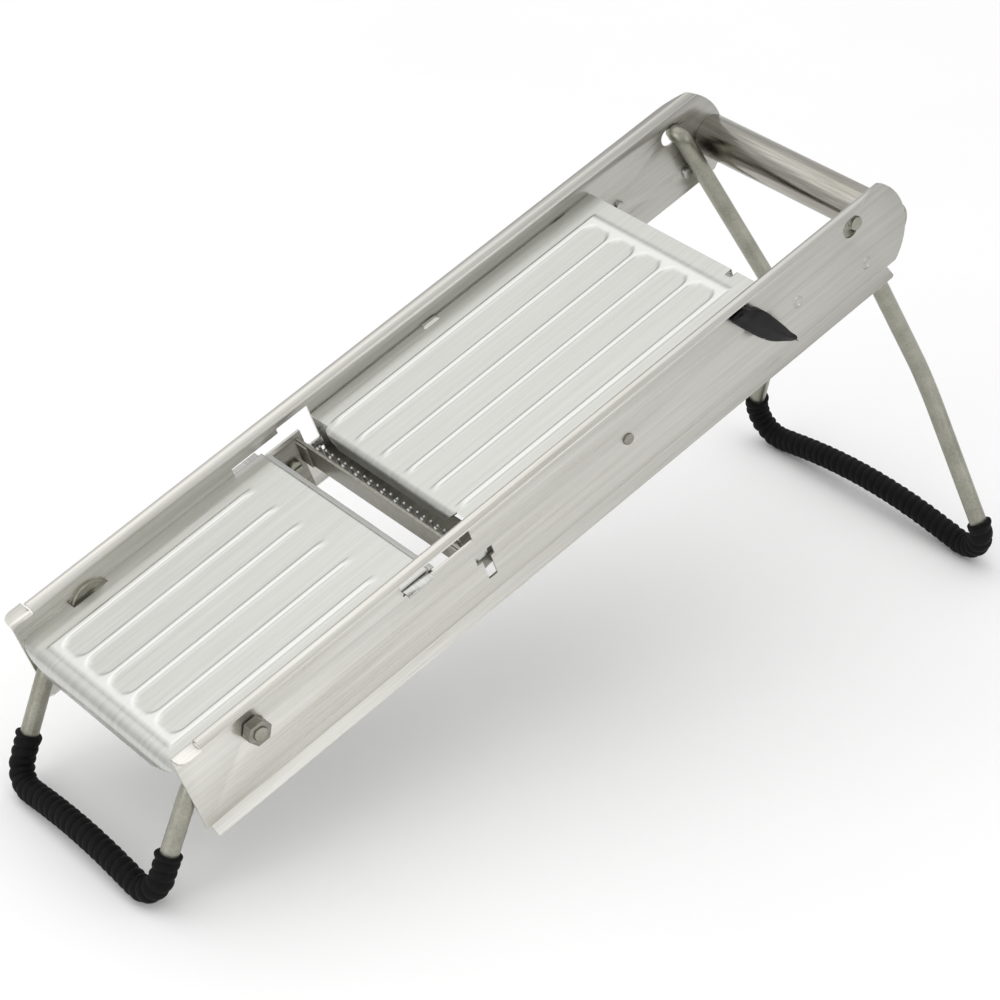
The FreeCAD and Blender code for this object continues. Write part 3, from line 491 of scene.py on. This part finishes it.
def footSleeve(name, leg, look):
    # a tube along the foot bar; its radius is the rod's plus the wall, less a rounded groove that
    # winds round once per pitch, with the two cut ends flared and turned in to the rod
    foot = np.array(leg["foot"]) * [1, -1, 1]
    knee = np.array(leg["knee"]) * [1, -1, 1]
    up = np.array([math.sin(tilt), 0, math.cos(tilt)])
    above = (knee - foot) / np.linalg.norm(knee - foot)
    half = [foot + above * leg["sleeve"], foot]
    crown = np.array([foot[0], 0, foot[2]]) + up * leg["arch"]
    corners = half + [crown] + [point * [1, -1, 1] for point in half[::-1]]
    bends = [leg["footBend"], leg["crownBend"], leg["footBend"]]
    path, s = bentPath(corners, bends, look["step"])
    tangent = np.gradient(path, axis=0)
    tangent /= np.linalg.norm(tangent, axis=1)[:, None]
    sideways = np.cross(tangent, up)
    sideways /= np.linalg.norm(sideways, axis=1)[:, None]
    outward = np.cross(sideways, tangent)
    around = np.linspace(0, 2 * math.pi, look["round"], endpoint=False)
    phase = s[:, None] / look["pitch"] + around[None, :] / (2 * math.pi)
    groove = 1 - np.abs(np.sin(math.pi * phase)) ** look["sharp"]
    wobble = 0.5 + 0.5 * np.sin(math.pi * phase + 3 * around[None, :])
    fromEnd = np.minimum(s, s[-1] - s)[:, None]
    radius = look["outer"] - look["ridge"] * groove - look["wobble"] * wobble
    radius = radius + look["lip"] * np.exp(-((fromEnd - look["lipAt"]) / look["lipWide"]) ** 2)
    spokes = (np.cos(around)[None, :, None] * sideways[:, None, :]
              + np.sin(around)[None, :, None] * outward[:, None, :])
    skin = path[:, None, :] + radius[..., None] * spokes
    # the cut ends turn in to the rod and run a little way down its side
    inner, cut = look["rod"] + look["fit"], look["cut"]
    ends = [12, 1, 0, -1, -2, -13]
    sizes = np.array([inner, inner, inner + cut, inner + cut, inner, inner])
    rings = path[ends][:, None, :] + sizes[:, None, None] * spokes[ends]
    rows = np.concatenate([rings[:3], skin, rings[3:]])
    points = rows.reshape(-1, 3)
    faces = gridFaces(len(rows), look["round"], closed=True)
    return addPiece(name + "_foot_sleeve_ribbed", fromRail(points), faces[:, ::-1], leg["body"],
                    materials["rubber"], [name + "_foot_sleeve"])


for name, leg in legs.items():
    footSleeve(name, leg, sleeveLook)
print("foot sleeves ribbed")

# Leaf lever
leverLook = {
    # outline about the hub, in millimetres; faces are y of the inner and outer side
    "outline": [(-14.1, 17.6), (-11.5, 18.7), (-7.0, 18.4), (-3.5, 15.0), (0.8, 11.9), (3.2, 8.5),
                (5.8, 3.6), (9.4, -3.8), (11.8, -9.3), (13.9, -13.2), (13.2, -14.4), (11.0, -13.8),
                (7.1, -10.9), (2.4, -7.3), (-1.2, -3.6), (-4.9, 1.4), (-8.0, 6.3), (-11.8, 12.7)],
    "hub": (308.0, -11.0), "near": -59.9, "far": -65.7, "soft": 1.1, "round": 144,
    # the keel is x at three heights, tip first; the outer face rises to it over these steps
    "keel": [(-13.5, 12.4), (3.0, 0.2), (18.0, -9.5)], "steps": (0.25, 0.5, 0.75, 0.97),
    "rise": 1.4, "swell": 1.3, "innerRim": 0.9,
}


def leafLever(look):
    # rings of one closed outline: scaled in towards the leaf's middle while the depth follows a
    # quarter circle, so the rim is round, and the outer face swells towards a soft keel
    corner = np.array(look["outline"])
    count = look["round"]
    t = np.linspace(0, len(corner), count, endpoint=False)
    i = t.astype(int)
    f = (t - i)[:, None]
    n = len(corner)
    p0, p1, p2, p3 = (corner[(i + k) % n] for k in (-1, 0, 1, 2))
    # a smooth curve through the corners (Catmull-Rom)
    line = 0.5 * (2 * p1 + (p2 - p0) * f + (2 * p0 - 5 * p1 + 4 * p2 - p3) * f ** 2
                  + (3 * p1 - p0 - 3 * p2 + p3) * f ** 3)
    middle = line.mean(axis=0)
    ahead = np.roll(line, -1, axis=0) - np.roll(line, 1, axis=0)
    inward = np.stack([-ahead[:, 1], ahead[:, 0]], axis=1)
    inward /= np.linalg.norm(inward, axis=1)[:, None]
    if ((middle - line) * inward).sum() < 0:
        inward = -inward
    soft, near, far = look["soft"], look["near"], look["far"]
    heights, across = zip(*look["keel"])
    spine = np.stack([np.interp(line[:, 1], heights, across), line[:, 1]], axis=1)
    rows = []
    turn = np.linspace(0, math.pi / 2, 6)
    for a in turn:
        drop = soft * (1 - math.cos(a)) * look["innerRim"]
        rows.append((line + inward * soft * (1 - math.sin(a)), near - drop))
    for a in turn[::-1]:
        rows.append((line + inward * soft * (1 - math.sin(a)), far + soft * (1 - math.cos(a))))
    rim = line + inward * soft
    for k in look["steps"]:
        rows.append((rim + (spine - rim) * k, far - look["rise"] * k ** look["swell"]))
    rows.insert(0, (rim + (spine - rim) * look["steps"][-1], near))
    points = np.concatenate([np.stack([ring[:, 0] + look["hub"][0], np.full(count, y),
                                       ring[:, 1] + look["hub"][1]], axis=1) for ring, y in rows])
    faces = gridFaces(len(rows), count, closed=True)
    piece = addPiece("thickness_lever_leaf", fromRail(points), faces, "adjuster",
                     materials["nylon"], ["thickness_lever"])
    work = bmesh.new()
    work.from_mesh(piece.data)
    bmesh.ops.holes_fill(work, edges=[edge for edge in work.edges if edge.is_boundary], sides=0)
    bmesh.ops.recalc_face_normals(work, faces=work.faces)
    work.to_mesh(piece.data)
    work.free()
    return piece


leafLever(leverLook)
print("lever shaped")

# Everything else keeps its built shape, with worked edges
worked = {
    # node: edge rounding in metres, material, slot
    "near_side_plate": (0.00025, "plateSheet", "plate_steel"),
    "far_side_plate": (0.00025, "plateSheet", "plate_steel"),
    "handle_tube": (0.0003, "handleTube", "tube_steel"),
    "slicing_blade": (0.00008, "bladeStrip", "blade_steel"),
    "coarse_comb": (0.00008, "bladeStrip", "blade_steel"),
    "fine_comb": (0.00008, "bladeStrip", "blade_steel"),
    "front_leg": (0.0003, "rod", "rod_steel"),
    "rear_leg": (0.0003, "rod", "rod_steel"),
    "front_pivot_nuts": (0.0003, "innerSheet", "screw_steel"),
    "bracket_screws": (0.0002, "rod", "screw_steel"),
    "front_pivot_washers": (0.00015, "rod", "inner_steel"),
}
for node, (width, material, slot) in worked.items():
    softenEdges(node, width, materials[material])
remade = {"receiving_table", "feed_table", "front_foot_sleeve", "rear_foot_sleeve",
          "thickness_lever"}
plainEdge = 0.00015
for node in sorted(nodes):
    if node not in worked and node not in remade:
        softenEdges(node, plainEdge, materials["innerSheet"])
print("built shapes worked")

# Dimples punched into the outer faces of the side plates
dimples = {"places": [(331.1, -15.4), (370.1, -23.7)], "face": 58.5, "radius": 2.9, "rim": 0.42,
           "crest": 0.72, "spread": 0.2, "bowl": 0.02, "sink": 0.12, "rings": 15, "round": 32}


def punchedDimples(name, side, look):
    # polar grid per dimple: height is a rounded rim at the crest's share of the radius, falling to
    # a shallow bowl inside and to just under the plate's face outside
    around = np.linspace(0, 2 * math.pi, look["round"], endpoint=False)[None, :]
    reach = np.linspace(0.02, 1.0, look["rings"])[:, None]
    rim = look["rim"] * np.exp(-((reach - look["crest"]) / look["spread"]) ** 2)
    height = rim + look["bowl"] - look["sink"] * reach ** 6
    points, faces = [], []
    for x, z in look["places"]:
        part = np.stack([x + look["radius"] * reach * np.cos(around),
                         side * (look["face"] + height + 0 * around),
                         z + look["radius"] * reach * np.sin(around)], axis=-1).reshape(-1, 3)
        faces.append(gridFaces(look["rings"], look["round"], closed=True) + len(points) * len(part))
        points.append(part)
    faces = np.concatenate(faces)[:, ::side]
    addPiece(name, fromRail(np.concatenate(points)), faces, "frame", materials["plateSheet"])


punchedDimples("near_dimples", -1, dimples)
punchedDimples("far_dimples", 1, dimples)
print("dimples punched")

# A pressed sheet under the feed table's hem, between the runners, put there as painted shade: it
# stands in for the shade under the hem
strip = {"x": (150.5, 164.5), "side": 57.2, "z": -19.6, "arch": 1.2, "thick": 0.8, "rows": 13,
         "columns": 9}


def shadeStrip(look):
    # one shallow arch across: height falls by the square of the distance from the middle line
    u = np.linspace(0, 1, look["rows"])[:, None]
    y = np.linspace(-look["side"], look["side"], look["columns"])[None, :]
    start, end = look["x"]
    x = start + (end - start) * u + 0 * y
    z = look["z"] - look["arch"] * (2 * u - 1) ** 2 + 0 * y
    points = np.stack([x, y + 0 * u, z], axis=-1).reshape(-1, 3)
    faces = gridFaces(look["rows"], look["columns"])[:, ::-1]
    piece = addPiece("shade_strip", fromRail(points), faces, "frame", materials["innerSheet"])
    wall = piece.modifiers.new("sheet", "SOLIDIFY")
    wall.thickness = look["thick"] / 1000
    wall.offset = -1.0


shadeStrip(strip)
print("drip strip added")

# Floor, light and camera
stage = {"floorSize": 40.0, "floor": ("#fbfbfb", "#ffffff"), "floorRough": 0.75, "floorGap": 0.0002,
         "sky": 0.95, "horizon": 0.62, "midSky": 0.8}


def paleFloor():
    # matt white paper sweep with a faint cloud and fine tooth
    material, tree, shader, place = newMaterial("whitePaperSweep")
    cloud = addNode(tree, "ShaderNodeTexNoise", {"Scale": 3.0, "Detail": 3.0}, Vector=place)
    dull, bright = stage["floor"]
    colour = ramp(tree, cloud.outputs["Fac"], [(0.3, linear(dull)), (0.7, linear(bright))])
    tooth = addNode(tree, "ShaderNodeTexNoise", {"Scale": 900.0}, Vector=place)
    lift = addNode(tree, "ShaderNodeBump", {"Strength": 0.02, "Distance": 0.0002},
                   Height=tooth.outputs["Fac"])
    tree.links.new(colour, shader.inputs["Base Color"])
    tree.links.new(lift.outputs[0], shader.inputs["Normal"])
    shader.inputs["Roughness"].default_value = stage["floorRough"]
    half = stage["floorSize"] / 2
    low = float(cadBox[0][2]) - stage["floorGap"]
    mesh = bpy.data.meshes.new("paper_floor")
    corners = [(-half, -half, low), (half, -half, low), (half, half, low), (-half, half, low)]
    mesh.from_pydata(corners, [], [(0, 1, 2, 3)])
    mesh.materials.append(material)
    floor = bpy.data.objects.new("paper_floor", mesh)
    bpy.context.scene.collection.objects.link(floor)


def softBox(name, place, target, size, watts):
    data = bpy.data.lights.new(name, "AREA")
    data.shape = "RECTANGLE"
    data.size, data.size_y = size
    data.energy = watts
    light = bpy.data.objects.new(name, data)
    light.location = place
    light.rotation_euler = (Vector(target) - Vector(place)).to_track_quat("-Z", "Y").to_euler()
    bpy.context.scene.collection.objects.link(light)


paleFloor()
lights = {
    # place, aim and size in metres, then watts
    "topBox": ((-0.15, 0.45, 1.35), (0.0, 0.0, 0.05), (1.6, 1.4), 3.5),
    "leftBox": ((-1.6, -0.2, 0.7), (0.0, 0.0, 0.1), (0.8, 0.7), 4.0),
    "nearBox": ((0.5, -1.6, 0.55), (0.0, 0.0, 0.1), (0.9, 0.5), 2.0),
}
for name, (place, target, size, watts) in lights.items():
    softBox(name, place, target, size, watts)

# sky: bright overhead, dimmer walls, by the height of the direction
world = bpy.data.worlds.new("studio")
bpy.context.scene.world = world
world.use_nodes = True
sky = world.node_tree
toward = addNode(sky, "ShaderNodeTexCoord")
height = addNode(sky, "ShaderNodeSeparateXYZ", Vector=toward.outputs["Generated"])
fade = ramp(sky, height.outputs["Z"], [(0.0, grey(stage["horizon"])), (0.3, grey(stage["midSky"])),
                                       (0.8, grey(1.0))])
sky.links.new(fade, sky.nodes["Background"].inputs["Color"])
sky.nodes["Background"].inputs["Strength"].default_value = stage["sky"]

cameraLook = dict(place=(-0.74009, -0.92447, 0.79742), target=(-0.00452, 0.0, 0.0832), lens=117.046)
cameraData = bpy.data.cameras.new("studioCamera")
cameraData.lens = cameraLook["lens"]
cameraData.sensor_width = 36.0
cameraData.clip_start, cameraData.clip_end = 0.05, 60.0
camera = bpy.data.objects.new("studioCamera", cameraData)
camera.location = cameraLook["place"]
aim = Vector(cameraLook["target"]) - Vector(cameraLook["place"])
camera.rotation_euler = aim.to_track_quat("-Z", "Y").to_euler()
bpy.context.scene.collection.objects.link(camera)
bpy.context.scene.camera = camera
bpy.context.scene.view_settings.view_transform = "Standard"
print("stage set")
